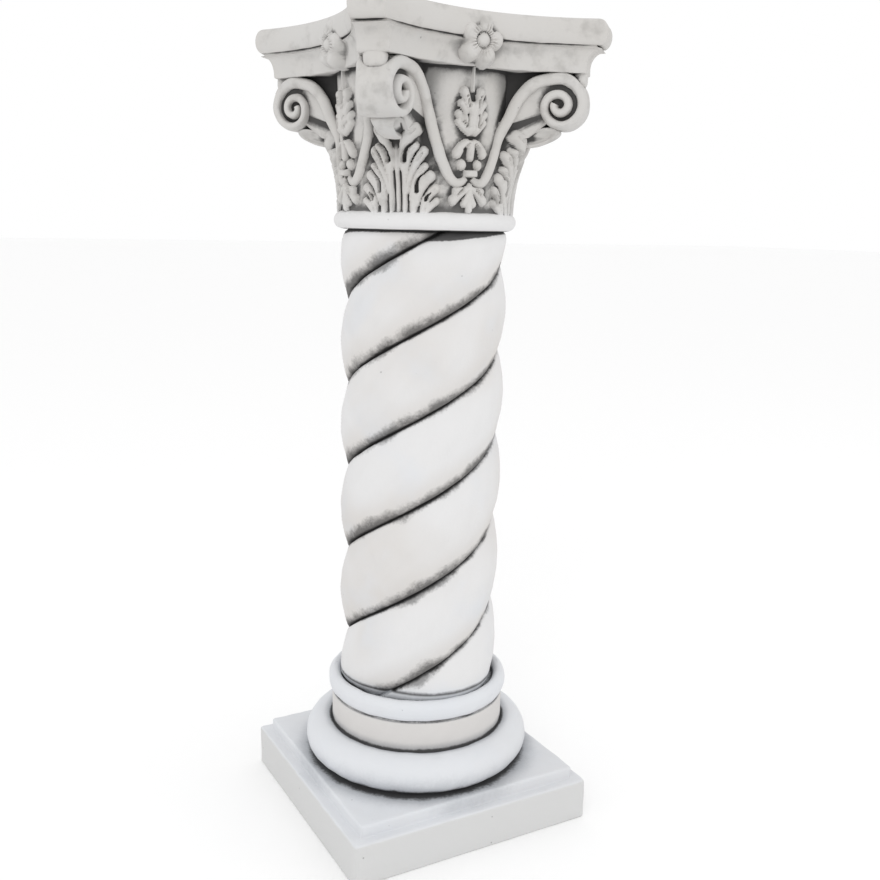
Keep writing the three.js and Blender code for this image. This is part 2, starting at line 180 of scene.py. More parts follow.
slab_half = PLINTH_WIDTH / 2
step_half = STEP_WIDTH / 2
plinth_profile = np.concatenate([
    [(60, 0), (slab_half - 3, 0)],
    arc((slab_half - FOOT_ROUND, FOOT_ROUND), FOOT_ROUND, FOOT_ROUND, -90, 0, 4),
    [(slab_half, 3), (slab_half, 14), (slab_half, 28), (slab_half, SLAB_HEIGHT - 4)],
    arc((slab_half - SLAB_ROUND, SLAB_HEIGHT - SLAB_ROUND), SLAB_ROUND, SLAB_ROUND, 0, 90, 6),
    [(slab_half - 4, SLAB_HEIGHT), (step_half + 2, SLAB_HEIGHT), (step_half + INNER_CHAMFER, SLAB_HEIGHT)],
    [(step_half, SLAB_HEIGHT + INNER_CHAMFER), (step_half, SLAB_HEIGHT + 2), (step_half, STEP_TOP - 4)],
    arc((step_half - STEP_ROUND, STEP_TOP - STEP_ROUND), STEP_ROUND, STEP_ROUND, 0, 90, 6),
    np.stack([np.linspace(step_half - 4, 72, PLINTH_TOP_ROWS), np.full(PLINTH_TOP_ROWS, STEP_TOP)], axis=-1),
])
shell("plinth", square_loops(plinth_profile, POINTS_PER_CORNER))

# Base: a fat torus, a plain drum and a half-round ring, turned as one moulding round the axis.
# The torus is undercut where it sits on the plinth, and a channel lies behind the ring.
TORUS_MIDDLE = (100.5, 74.7)
TORUS_WIDE = 19
TORUS_TALL = 19.6
TORUS_FROM = -68
TORUS_TO = 114
DRUM_RADIUS = 91.5
DRUM_TOP = 126
RING_MIDDLE = (88.4, 138)
RING_WIDE = 6.8
RING_BELOW = 12.7
RING_ABOVE = 8.7
RING_FROM = -66
UNDER_RING = 1.8
CHANNEL_DROP = 1.6
DRUM_ROWS = 9
BASE_SIDES = 116


def turned(profile, sides):
    """A profile of radii and heights turned about the column's axis."""
    angle = np.linspace(0, 2 * np.pi, sides, endpoint=False)
    radius, level = profile[:, :1], profile[:, 1:]
    return np.stack([radius * np.cos(angle), radius * np.sin(angle), level + 0 * angle], axis=-1)


channel_floor = RING_MIDDLE[1] - CHANNEL_DROP
base_profile = np.concatenate([
    [(104, STEP_TOP - 4), (106.5, STEP_TOP - 1)],
    arc(TORUS_MIDDLE, TORUS_WIDE, TORUS_TALL, TORUS_FROM, TORUS_TO, 40),
    [(DRUM_RADIUS + 0.4, 91.8), (DRUM_RADIUS, 92.6)],
    np.stack([np.full(DRUM_ROWS, DRUM_RADIUS), np.linspace(95, DRUM_TOP - 2.4, DRUM_ROWS)], axis=-1),
    [(DRUM_RADIUS - UNDER_RING, DRUM_TOP - 1.6), (DRUM_RADIUS - UNDER_RING, DRUM_TOP - 0.8)],
    arc(RING_MIDDLE, RING_WIDE, RING_BELOW, RING_FROM, -6, 10),
    arc(RING_MIDDLE, RING_WIDE, RING_ABOVE, 0, 180, 24),
    [(80.6, channel_floor), (70, channel_floor)],
])
shell("base", turned(base_profile, BASE_SIDES))

# Shaft: three bulging strands laid as a twist that tightens a little upwards. Each valley between
# two strands is cut deeper by a narrow groove, and the strands round in at both ends.
SHAFT_FOOT = 136
SHAFT_HEAD = 611
STRANDS = 3
STRAND_RADIUS = 68.3
STRAND_OFFSET = 14.7
GROOVE_DEPTH = 4.6
GROOVE_REACH = 2.8
TWIST_MIDDLE = 370
TWIST_BEARING = -204.08
TWIST_RATE = 1.3708
TWIST_GROWTH = 1.8686e-4
STRAND_END_ROUND = 14
STRAND_END_DROP = 5
COLUMNS_PER_STRAND = 36
SHAFT_ROWS = 124
SUNK_IN_RING = 10
SUNK_IN_ASTRAGAL = 6
GROOVE_CROWDING = 1.6


def strand_section(from_groove, level):
    """Radius of the twisted shaft: an arc set off from the axis for each strand, less a narrow bell-shaped
    groove in every valley, less an elliptic rounding near both ends."""
    span = 360 / STRANDS
    from_crest = np.radians(np.mod(from_groove, span) - span / 2)
    side = STRAND_OFFSET * np.sin(from_crest)
    radius = STRAND_OFFSET * np.cos(from_crest) + np.sqrt(STRAND_RADIUS ** 2 - side ** 2)
    to_groove = np.radians(span / 2 - np.abs(np.degrees(from_crest))) * radius
    radius = radius - GROOVE_DEPTH * np.exp(-(to_groove / GROOVE_REACH) ** 2)
    past = 1 - np.clip(np.minimum(level - SHAFT_FOOT, SHAFT_HEAD - level) / STRAND_END_ROUND, 0, 1)
    return radius - STRAND_END_DROP * (1 - np.sqrt(1 - past ** 2))


even = np.linspace(-1, 1, COLUMNS_PER_STRAND, endpoint=False)
crowded = 180 / STRANDS * np.sign(even) * np.abs(even) ** GROOVE_CROWDING
from_groove = (np.arange(STRANDS)[:, None] * 360 / STRANDS + crowded).ravel()
seen_level = np.linspace(SHAFT_FOOT, SHAFT_HEAD, SHAFT_ROWS)
hidden_foot = SHAFT_FOOT - SUNK_IN_RING
hidden_head = SHAFT_HEAD + SUNK_IN_ASTRAGAL
shaft_level = np.concatenate([[hidden_foot], seen_level, [hidden_head]])[:, None]
rise = shaft_level - TWIST_MIDDLE
groove_bearing = TWIST_BEARING + TWIST_RATE * rise + TWIST_GROWTH * rise ** 2
shaft_radius = strand_section(from_groove + 0 * shaft_level, shaft_level)
shaft_angle = np.radians(groove_bearing + from_groove)
shaft_loops = np.stack([
    shaft_radius * np.cos(shaft_angle),
    shaft_radius * np.sin(shaft_angle),
    shaft_level + 0 * shaft_angle,
], axis=-1)
shell("shaft", shaft_loops)

# Bell of the capital: a plain drum that flares a little, rising from a half-round astragal.
# All carving stands on it.
ASTRAGAL_MIDDLE = (81.2, 618.6)
ASTRAGAL_WIDE = 9
ASTRAGAL_TALL = 8.5
BELL_FOOT = 624
BELL_HEAD = 757
BELL_FOOT_RADIUS = 82
BELL_HEAD_RADIUS = 87
BELL_CURVE = 1.3
BELL_ROWS = 24
BELL_SIDES = 92


def bell_radius(level):
    """Radius of the bell: from the foot's to the head's with a power of the height."""
    share = np.clip((level - BELL_FOOT) / (BELL_HEAD - BELL_FOOT), 0, 1)
    return BELL_FOOT_RADIUS + (BELL_HEAD_RADIUS - BELL_FOOT_RADIUS) * share ** BELL_CURVE


bell_level = np.linspace(BELL_FOOT + 4, BELL_HEAD + 6, BELL_ROWS)
bell_profile = np.concatenate([
    [(66, 609.5)],
    arc(ASTRAGAL_MIDDLE, ASTRAGAL_WIDE, ASTRAGAL_TALL, -88, 84, 22),
    np.stack([bell_radius(bell_level), bell_level], axis=-1),
])
shell("bell", turned(bell_profile, BELL_SIDES))

# Abacus: the square top slab with hollow sides and cut corners. A rounded upper band lies over a
# cove, with a narrow sunk line between them.
ABACUS_FOOT = 754
ABACUS_LINE = 776.7
COLUMN_HEIGHT = 800
ABACUS_CORNER = 174
ABACUS_CHAMFER = 32
ABACUS_HOLLOW = 103
COVE_CORNER = 168.5
COVE_FOOT_CORNER = 155
COVE_FOOT_BAND = 4
COVE_HEAD_BAND = 1.6
COVE_LIP = 1
BAND_WIDE = 9
POINTS_PER_SIDE = 30
CORNER_STEPS = 8


def abacus_plan():
    """Plan of the abacus for a corner reach of one: four hollow arcs between cut corners."""
    half = (ABACUS_CORNER - ABACUS_CHAMFER / 2) * np.sqrt(0.5)
    reach = (ABACUS_CORNER + ABACUS_CHAMFER / 2) * np.sqrt(0.5)
    hollow = reach - ABACUS_HOLLOW
    sweep = (half ** 2 + hollow ** 2) / (2 * hollow)
    angle = np.linspace(-1, 1, POINTS_PER_SIDE) * np.arcsin(half / sweep)
    across = sweep * np.sin(angle)
    out = ABACUS_HOLLOW + sweep * (1 - np.cos(angle))
    turn = np.radians([0, 90, 180, 270])[:, None]
    plan_x = across * np.cos(turn) + out * np.sin(turn)
    plan_y = across * np.sin(turn) - out * np.cos(turn)
    plan = np.stack([plan_x, plan_y], axis=-1)
    cut_share = np.linspace(0, 1, CORNER_STEPS)[1:-1, None]
    cut = plan[:, -1:] + cut_share * (np.roll(plan[:, :1], -1, axis=0) - plan[:, -1:])
    return np.concatenate([plan, cut], axis=1).reshape(-1, 2) / ABACUS_CORNER


band_tall = (COLUMN_HEIGHT - ABACUS_LINE) / 2
cove_middle = (COVE_CORNER - COVE_LIP, ABACUS_FOOT + COVE_FOOT_BAND)
cove_wide = COVE_FOOT_CORNER - cove_middle[0]
cove_tall = ABACUS_LINE - COVE_HEAD_BAND - cove_middle[1]
abacus_profile = np.concatenate([
    np.stack([np.linspace(84, COVE_FOOT_CORNER - 1, 14), np.full(14, ABACUS_FOOT)], axis=-1),
    [(COVE_FOOT_CORNER, ABACUS_FOOT + 0.8)],
    arc(cove_middle, cove_wide, cove_tall, 0, 78, 12),
    [(COVE_CORNER, ABACUS_LINE - 2), (COVE_CORNER - 4, ABACUS_LINE - 1)],
    [(COVE_CORNER - 4.5, ABACUS_LINE + 1)],
    arc((ABACUS_CORNER - BAND_WIDE, ABACUS_LINE + band_tall), BAND_WIDE, band_tall, -68, 88, 18),
    np.stack([np.linspace(160, 60, 6), np.full(6, COLUMN_HEIGHT)], axis=-1),
])
abacus_flat = abacus_profile[:, None, :1] * abacus_plan()
abacus_rise = np.broadcast_to(abacus_profile[:, None, 1:], abacus_flat.shape[:2] + (1,))
shell("abacus", np.concatenate([abacus_flat, abacus_rise], axis=-1))

# Corner scrolls: under each corner of the abacus a band is rolled up from the top towards an eye.
# Between its turns a web lies back, and a thinner fin closes the space up to the abacus.
CORNERS = {"near": -135, "right": -45, "far": 45, "left": 135}
EYE_REACH = 132.5
EYE_HEIGHT = 725
ROLL_START = 30
ROLL_SHRINK = 0.49
ROLL_FROM = -24
ROLL_TO = 650
BAND_INNER_TURN = [0, 180, 380, 540, 650]
BAND_INNER_SHARE = [0.62, 0.61, 0.36, 0.18, 0.06]
FRONT_WIDTH = 30
FRONT_REACH = 157
FLARE = 0.27
BAND_SQUARENESS = 3.4
WEB_SUNK = 6.5
WEB_SHARE = 0.88
WEB_WAIST = 718
WEB_TAPER = 0.4
FIN_SUNK = 14
FIN_OUTLINE = [(70, 700), (92, 706), (120, 725), (136, 745), (128, 757), (100, 758), (70, 758)]
WEB_BACK_REACH = [76, 76, 84, 91, 100, 113]
WEB_BACK_HEIGHT = [692, 704, 708, 716, 732, 746]
ROLL_ROWS = 80
BAND_POINTS = 22


def stand(bearing, reach, aside, level):
    """Points at a distance along a bearing, a distance to its left and a height."""
    angle = np.radians(bearing)
    return np.stack([
        reach * np.cos(angle) - aside * np.sin(angle),
        reach * np.sin(angle) + aside * np.cos(angle),
        level + 0 * reach + 0 * aside,
    ], axis=-1)


def scroll_half(reach):
    """Half the width of the scroll: it widens towards the bell."""
    return FRONT_WIDTH / 2 + FLARE * (FRONT_REACH - reach)


def roll_point(turn, radius):
    """Reach and height of a point of the roll, a turn after its top, at a distance from the eye."""
    angle = np.radians(90 - turn)
    return EYE_REACH + radius * np.cos(angle), EYE_HEIGHT + radius * np.sin(angle)


def rounded(count, squareness):
    """Points round a superellipse that fits a square of half side one."""
    angle = np.linspace(0, 2 * np.pi, count, endpoint=False)
    across = np.sign(np.cos(angle)) * np.abs(np.cos(angle)) ** (2 / squareness)
    up = np.sign(np.sin(angle)) * np.abs(np.sin(angle)) ** (2 / squareness)
    return across, up


def rolled_band():
    """Reach, half-width share and height of the rolled band: a squarish section between an outer and an
    inner spiral, where the inner one runs in to the eye over the last turn."""
    turn = np.linspace(ROLL_FROM, ROLL_TO, ROLL_ROWS)[:, None]
    outer = ROLL_START * ROLL_SHRINK ** (turn / 360)
    share = np.interp(turn, BAND_INNER_TURN, BAND_INNER_SHARE)
    thick, wide = rounded(BAND_POINTS, BAND_SQUARENESS)
    radius = outer * ((1 + share) / 2 + (1 - share) / 2 * thick)
    reach, level = roll_point(turn, radius)
    return reach, wide, level


def web_outline():
    """Reach and height round the web: along the roll's outer turn and back behind the ribbon."""
    turn = np.linspace(-10, 215, 30)
    reach, level = roll_point(turn, ROLL_START * ROLL_SHRINK ** (turn / 360) * WEB_SHARE)
    reach = np.concatenate([WEB_BACK_REACH, reach, [104]])
    level = np.concatenate([WEB_BACK_HEIGHT, level, [697]])
    return reach, level


for corner, bearing in CORNERS.items():
    reach, wide, level = rolled_band()
    shell(f"scroll_{corner}", stand(bearing, reach, wide * scroll_half(reach), level))
    through = np.linspace(-1, 1, 9)[:, None]
    web_reach, web_level = web_outline()
    web_half = scroll_half(web_reach) - WEB_SUNK - WEB_TAPER * np.clip(WEB_WAIST - web_level, 0, 30)
    shell(f"web_{corner}", stand(bearing, web_reach + 0 * through, through * web_half, web_level))
    fin_reach, fin_level = np.array(FIN_OUTLINE, dtype=float).T
    fin_half = scroll_half(fin_reach) - FIN_SUNK
    shell(f"fin_{corner}", stand(bearing, fin_reach + 0 * through, through * fin_half, fin_level))

# Ribbons: a flat rounded moulding leaves the clasp in the middle of each face, climbs the bell in
# an S on both sides and runs into the top of the corner scrolls.
FACES = {"right": -90, "back": 0, "rear": 90, "left": 180}
RIBBON_HALF = 5.7
RIBBON_RISE = 4.8
RIBBON_ROWS = 62
RIBBON_POINTS = 14
RIBBON_SQUARENESS = 2.3
# Share of the ribbon's length and share of its full section there
RIBBON_SWELL = [(0, 0.5), (0.1, 0.72), (0.4, 0.95), (0.8, 1), (1, 0.86)]
# Route: degrees from the face's middle and height on the bell, then reach and height along the scroll
RIBBON_ON_BELL = [(2.2, 657.5), (5.2, 654), (9, 653.4), (13.6, 659.4), (19, 675), (23.4, 694)]
RIBBON_ON_SCROLL = [(88, 713), (97, 731), (111.5, 744.8), (132.5, 749.2), (143.9, 744.6), (150.2, 737.4)]


def smooth_route(points, count):
    """A curve through points: each stretch is a cubic whose slopes follow the neighbouring points."""
    points = np.asarray(points, dtype=float)
    padded = np.concatenate([[2 * points[0] - points[1]], points, [2 * points[-1] - points[-2]]])
    place = np.linspace(0, len(points) - 1, count)
    cell = np.minimum(place.astype(int), len(points) - 2)
    t = (place - cell)[:, None]
    before, start, stop, after = (padded[cell + i] for i in range(4))
    bend = 2 * before - 5 * start + 4 * stop - after
    twist = 3 * (start - stop) + after - before
    return start + t / 2 * (stop - before + t * (bend + t * twist))


def ribbon(face_bearing, hand):
    """A half-round section carried along the ribbon's route, with its back towards the bell and, further
    up, towards the scroll's side."""
    corner_bearing = face_bearing + hand * 45
    turn, bell_level = np.array(RIBBON_ON_BELL).T
    angle = np.radians(face_bearing + hand * turn)
    radius = bell_radius(bell_level)
    on_bell = np.stack([radius * np.cos(angle), radius * np.sin(angle), bell_level], axis=-1)
    bell_out = np.stack([np.cos(angle), np.sin(angle), 0 * angle], axis=-1)
    reach, level = np.array(RIBBON_ON_SCROLL).T
    on_scroll = stand(corner_bearing, reach, -hand * (scroll_half(reach) - RIBBON_RISE - 0.3), level)
    side = np.radians(corner_bearing - hand * 90)
    scroll_out = np.tile([np.cos(side), np.sin(side), 0], (len(reach), 1))
    route = smooth_route(np.concatenate([on_bell, on_scroll]), RIBBON_ROWS)
    out = smooth_route(np.concatenate([bell_out, scroll_out]), RIBBON_ROWS)
    along = np.gradient(route, axis=0)
    along /= np.linalg.norm(along, axis=1, keepdims=True)
    out -= (out * along).sum(axis=1, keepdims=True) * along
    out /= np.linalg.norm(out, axis=1, keepdims=True)
    across = np.cross(along, out)
    wide, tall = rounded(RIBBON_POINTS, RIBBON_SQUARENESS)
    swell = np.interp(np.linspace(0, 1, RIBBON_ROWS), *np.transpose(RIBBON_SWELL))[:, None, None]
    return route[:, None] + swell * (
        across[:, None] * wide[:, None] * RIBBON_HALF + out[:, None] * tall[:, None] * RIBBON_RISE)


for face, bearing in FACES.items():
    for hand, side_name in ((-1, "a"), (1, "b")):
        shell(f"ribbon_{face}_{side_name}", ribbon(bearing, hand))

# Acanthus leaves: one stands on the bell under every scroll. Long fingers rise from the foot beside
# a midrib and bend outwards to round tips, with drop-shaped eyes drilled between the lobes.
LEAF_TOP = 708
LEAF_FOOT = 620
LEAF_HALF = 42
LEAF_SUNK = 4
LEAF_COLUMNS = 74
LEAF_ROWS = 74
FINGER_RISE = 5.0
LEAF_LEAN = 15.5
LEAF_LEAN_POWER = 2.1
LEAF_LEAN_FROM = 627
LEAF_LEAN_SPAN = 65
LEAF_RADIUS = 88
LEAF_BACK = 12
MIDRIB_HALF = 3.3
MIDRIB_RISE = 0.8
MIDRIB_END = 690
MIDRIB_FADE = 22
EYE_DEPTH = 1.3
# Heights and half widths of the leaf's outline
LEAF_OUTLINE = [(620, 40), (640, 39), (660, 34), (682, 27), (700, 22)]
# Each finger: its root, its bend and its tip, as the distance from the midrib and the height, its half
# width at the tip, the share of that width at its root, and how deep it is hollowed
FINGERS = [
    ((6.9, 622), (6.6, 652), (6.8, 674), 3.2, 1.0, 0),
    ((5.6, 664), (5.0, 690), (18.8, 699.5), 5.8, 0.55, 0.3),
    ((8.8, 660), (9.4, 674), (16.8, 683.5), 3.2, 0.7, 0.16),
    ((8.8, 644), (11.4, 664), (24.6, 680), 4.6, 0.6, 0.28),
    ((14.9, 622), (14.4, 636), (16.2, 648), 4.6, 1.0, 0),
    ((12.8, 638), (13.8, 656), (25.2, 666.5), 3.5, 0.85, 0.2),
    ((17.6, 634), (20.0, 650), (30.8, 658.5), 5.4, 0.75, 0.1),
    ((18.0, 638), (20.0, 650), (22.4, 655.5), 4.0, 0.8, 0),
    ((23.0, 622), (23.2, 630), (25.6, 638), 3.6, 1.0, 0),
    ((22.8, 626), (25.6, 640), (35.8, 647.5), 4.8, 0.65, 0.16),
    ((24.0, 621), (28.0, 630), (36.6, 636), 4.2, 0.75, 0.1),
    ((25.0, 620), (27.6, 626), (28.8, 633), 3.6, 0.8, 0),
]
# Each eye: its start, its bend and its end, in the same measures, and its half width
EYES = [
    ((15.0, 686.0), (6.8, 683.0), (7.0, 671.5), 2.0),
    ((23.4, 659.6), (16.8, 656.0), (18.0, 645.0), 1.8),
    ((31.0, 642.6), (27.4, 642.0), (26.6, 637.5), 1.4),
]


def along_stroke(across, level, start, bend, tip):
    """Distance of every point from a curved stroke, and how far along the stroke its nearest point lies:
    the least distance to the points of a parabola with its bend at the control point."""
    steps = 40
    t = np.linspace(0, 1, steps)[:, None]
    line = (1 - t) ** 2 * np.array(start) + 2 * t * (1 - t) * np.array(bend) + t ** 2 * np.array(tip)
    spread = np.hypot(across[..., None] - line[:, 0], level[..., None] - line[:, 1])
    nearest = spread.argmin(axis=-1)
    return np.take_along_axis(spread, nearest[..., None], axis=-1)[..., 0], nearest / (steps - 1)


def raised_stroke(across, level, start, bend, tip, half, foot_share, power=0.38):
    """Height from 0 to 1 of a rounded stroke that widens from its foot to its tip: an ellipse across it."""
    distance, share = along_stroke(across, level, start, bend, tip)
    width = half * (foot_share + (1 - foot_share) * share ** 0.8)
    return np.clip(1 - (distance / width) ** 2, 0, 1) ** power


def sunk_drop(across, level, start, bend, tip, half):
    """Depth from 0 to 1 of a drop-shaped hollow that widens from its start to its end."""
    distance, share = along_stroke(across, level, start, bend, tip)
    width = half * (0.3 + 0.7 * share)
    return np.exp(-(distance / width) ** 4)


def leaf_relief(across, level):
    """Height of the leaf's carving over its floor: the highest of the midrib and the fingers, less the
    hollow along each finger, less the drilled eyes."""
    mirrored = np.abs(across)
    fade = np.clip((MIDRIB_END - level) / MIDRIB_FADE, 0, 1)
    relief = MIDRIB_RISE * fade * np.clip(1 - (mirrored / MIDRIB_HALF) ** 2, 0, 1) ** 0.5
    hollow = np.zeros_like(relief)
    for start, bend, tip, half, root_share, hollowed in FINGERS:
        height = raised_stroke(mirrored, level, start, bend, tip, half, root_share)
        relief = np.maximum(relief, height)
        inner = 0.55 * np.array(tip) + 0.45 * np.array(bend)
        outer = 0.88 * np.array(tip) + 0.12 * np.array(bend)
        middle = 0.74 * np.array(tip) + 0.26 * np.array(bend)
        drop = sunk_drop(mirrored, level, outer, middle, inner, half * 0.4)
        hollow = np.maximum(hollow, hollowed * drop)
    relief = relief - hollow
    for start, bend, end, half in EYES:
        relief = relief - EYE_DEPTH * sunk_drop(mirrored, level, start, bend, end, half)
    return np.maximum(relief, 0)


def leaf(bearing):
    """The leaf's face and its hidden back as one loop for every height: the face leans out from the bell
    with a power of the height, most in the middle, and carries the relief."""
    level = np.linspace(LEAF_FOOT, LEAF_TOP, LEAF_ROWS)[:, None]
    across = np.linspace(-LEAF_HALF, LEAF_HALF, LEAF_COLUMNS)[None, :] + 0 * level
    level_grid = level + 0 * across
    outline = np.interp(level_grid, *np.transpose(LEAF_OUTLINE))
    lean = LEAF_LEAN * np.clip((level_grid - LEAF_LEAN_FROM) / LEAF_LEAN_SPAN, 0, 1.1) ** LEAF_LEAN_POWER
    lean = lean * np.clip(1 - (np.abs(across) / outline) ** 3, 0, 1)
    relief = leaf_relief(across, level_grid)
    radius = bell_radius(level_grid) + lean - LEAF_SUNK + (FINGER_RISE + LEAF_SUNK) * relief
    angle = np.radians(bearing) + across / LEAF_RADIUS
    front = np.stack([radius * np.cos(angle), radius * np.sin(angle), level_grid], axis=-1)
    back_angle = np.radians(bearing) + np.linspace(LEAF_HALF, -LEAF_HALF, 8) / LEAF_RADIUS
    back_radius = bell_radius(level) - LEAF_BACK
    back = np.stack([
        back_radius * np.cos(back_angle),
        back_radius * np.sin(back_angle),
        level + 0 * back_angle,
    ], axis=-1)
    return np.concatenate([front, back], axis=1)


# Rolled tip: half its width, its middle, half its length and height, its tilt, and from its end to its
# middle the shares of the half width and of the section
LIP_HALF = 13.5
LIP_MIDDLE = (112, 697.6)
LIP_WIDE = 20
LIP_TALL = 7.2
LIP_TILT = 0.24
LIP_ASIDE = [0.7, 0.74, 0.93, 1, 0.98, 0.84, 0.52, 0.2]
LIP_SIZE = [0.3, 0.6, 0.72, 0.84, 0.93, 0.98, 1, 1.02]
LIP_TAPER = 0.22
LIP_POINTS = 40


def leaf_lip(bearing):
    """The leaf's rolled tip: an ellipse in the corner's upright plane carried across the tip, narrower
    below than above, drawn in and sunk at both ends so that the roll shows its hollow."""
    aside = np.array(LIP_ASIDE)
    size = np.array(LIP_SIZE)
    aside = np.concatenate([-aside, aside[::-1]])[:, None] * LIP_HALF
    size = np.concatenate([size, size[::-1]])[:, None]
    angle = np.linspace(0, 2 * np.pi, LIP_POINTS, endpoint=False)
    taper = 1 - LIP_TAPER + LIP_TAPER * np.sin(angle)
    reach = LIP_MIDDLE[0] + LIP_WIDE * size * np.cos(angle)
    level = LIP_MIDDLE[1] + LIP_TALL * size * np.sin(angle) + LIP_TILT * (reach - LIP_MIDDLE[0])
    return stand(bearing, reach, aside * taper, level)


for corner, bearing in CORNERS.items():
    shell(f"leaf_{corner}", leaf(bearing))
    shell(f"leaf_lip_{corner}", leaf_lip(bearing))

# Garlands: under every flower hangs a stem with a husk of leaves, two small leaves, two berries, a
# clasp that ties the ribbons, and a three-lobed leaf that points down to the astragal.
GARLAND_HALF = 25
GARLAND_FOOT = 621
GARLAND_TOP = 764
GARLAND_COLUMNS = 42
GARLAND_ROWS = 98
GARLAND_SUNK = 3
GARLAND_NARROW = 1.12
# Each stroke: its start, its bend, its tip, its half width and its height over the bell
GARLAND_STROKES = [
    ((0, 764), (0, 750), (0, 733), 2.6, 3.6),
    ((-1, 700), (-5, 722), (-9.4, 732.5), 5.2, 6.8),
    ((-2, 698), (-8, 718), (-12.8, 722.5), 4.1, 6.2),
    ((-3, 697), (-9, 707), (-15.0, 713.5), 4.0, 5.8),
    ((-4, 696), (-10, 701), (-14.8, 706.5), 3.8, 5.4),
    ((0, 700), (-1, 710), (-2.4, 720), 5.0, 8.4),
    ((-3, 699), (-5.5, 702), (-6.4, 708), 7.0, 8.2),
    ((-2.8, 688.5), (-9, 689), (-15.0, 679.5), 5.6, 6.2),
    ((-1.2, 689), (-2.6, 684), (-0.6, 675), 3.6, 5.6),
    ((0, 651), (0, 642), (0, 629.5), 4.8, 6.0),
    ((-1, 646), (-3, 640), (-5.4, 634.5), 4.2, 5.4),
    ((-2, 648), (-10, 645.5), (-18.2, 637.5), 5.4, 6.0),
    ((-3, 648), (-10, 648), (-16.2, 646), 3.6, 5.2),
]
# Each hollow: its start, its bend, its end and its half width
GARLAND_HOLLOWS = [
    ((-6.0, 713), (-6.0, 708), (-5.8, 703), 1.5),
    ((-3.6, 687.5), (-6, 686), (-8, 682.5), 1.2),
    ((-14, 641.5), (-11, 645), (-8, 647), 1.2),
    ((-8.5, 731), (-6.4, 727), (-5, 720), 0.8),
    ((-11, 708), (-9, 705), (-7, 702), 0.7),
    ((0, 723), (0, 728), (0, 731), 1.4),
]
HOLLOW_DEPTH = 3.6
STROKE_FOOT_SHARE = 0.6
HUSK_HEIGHT = 706
HUSK_HALF = 12.6
HUSK_TALL = 13
HUSK_RISE = 7.6
BERRY_ASIDE = 9.2
BERRY_HEIGHT = 669
BERRY_RADIUS = 5.8
CLASP_HEIGHT = 661.3
CLASP_HALF = 6.8
CLASP_TALL = 3.4
CLASP_RISE = 8.6
GARLAND_RADIUS = 86
GARLAND_BACK = 10


def garland_relief(across, level):
    """Height of the garland over the bell: the highest of its strokes and the husk's dome, less the drilled
    hollows, then the berries as half balls and the clasp as a pillow."""
    mirrored = -np.abs(across) * GARLAND_NARROW
    relief = np.full_like(across, -GARLAND_SUNK)
    for start, bend, tip, half, height in GARLAND_STROKES:
        stroke = raised_stroke(mirrored, level, start, bend, tip, half, STROKE_FOOT_SHARE)
        relief = np.maximum(relief, (height + GARLAND_SUNK) * stroke - GARLAND_SUNK)
    husk_spread = (mirrored / HUSK_HALF) ** 2 + ((level - HUSK_HEIGHT) / HUSK_TALL) ** 2
    husk = np.clip(1 - husk_spread, 0, 1) ** 0.45
    relief = np.maximum(relief, (HUSK_RISE + GARLAND_SUNK) * husk - GARLAND_SUNK)
    for start, bend, end, half in GARLAND_HOLLOWS:
        relief = relief - HOLLOW_DEPTH * sunk_drop(mirrored, level, start, bend, end, half)
    berry_spread = ((mirrored + BERRY_ASIDE) ** 2 + (level - BERRY_HEIGHT) ** 2) / BERRY_RADIUS ** 2
    berry = np.sqrt(np.clip(1 - berry_spread, 0, 1))
    relief = np.maximum(relief, (BERRY_RADIUS + GARLAND_SUNK) * berry - GARLAND_SUNK)
    clasp_spread = (mirrored / CLASP_HALF) ** 6 + ((level - CLASP_HEIGHT) / CLASP_TALL) ** 6
    clasp = np.clip(1 - clasp_spread, 0, 1) ** 0.3
    return np.maximum(relief, (CLASP_RISE + GARLAND_SUNK) * clasp - GARLAND_SUNK)


def garland(bearing):
    """The garland's face and its hidden back as one loop for every height, laid on the bell."""
    level = np.linspace(GARLAND_FOOT, GARLAND_TOP, GARLAND_ROWS)[:, None]
    across = np.linspace(-GARLAND_HALF, GARLAND_HALF, GARLAND_COLUMNS)[None, :] + 0 * level
    level_grid = level + 0 * across
    radius = bell_radius(level_grid) + np.maximum(garland_relief(across, level_grid), -GARLAND_SUNK)
    angle = np.radians(bearing) + across / GARLAND_RADIUS
    front = np.stack([radius * np.cos(angle), radius * np.sin(angle), level_grid], axis=-1)
    back_angle = np.radians(bearing) + np.linspace(GARLAND_HALF, -GARLAND_HALF, 6) / GARLAND_RADIUS
    back_radius = bell_radius(level) - GARLAND_BACK
    back = np.stack([
        back_radius * np.cos(back_angle),
        back_radius * np.sin(back_angle),
        level + 0 * back_angle,
    ], axis=-1)
    return np.concatenate([front, back], axis=1)


for face, bearing in FACES.items():
    shell(f"garland_{face}", garland(bearing))

# Flowers: a five-petalled flower in high relief over the middle of each side of the abacus, with an
# oval boss and fine lines cut from the boss into every petal.
FLOWER_HEIGHT = 774.5
FLOWER_OUT = 101.5
FLOWER_EDGE = 25
PETALS = 5
FLOWER_DEEP = 20
PETAL_MIDDLE = 12.6
PETAL_LONG = 11.6
PETAL_HALF = 10.2
PETAL_RISE = 6.4
FLOWER_LEAN = 78
PETAL_DISH = 1.6
BOSS_WIDE = 6.4
BOSS_TALL = 5.6
BOSS_RISE = 4.6
BOSS_FOOT = 1.2
MOAT_RADIUS = 6.8
MOAT_DEPTH = 3.4
MOAT_REACH = 1.4
LINE_DEPTH = 2.0
LINE_END = 16.5
LINE_FADE = 5
FLOOR_FROM = 10
FLOOR_FALL = 3
FLOWER_COLUMNS = 80
FLOWER_ROWS = 28
LINES_PER_PETAL = 5


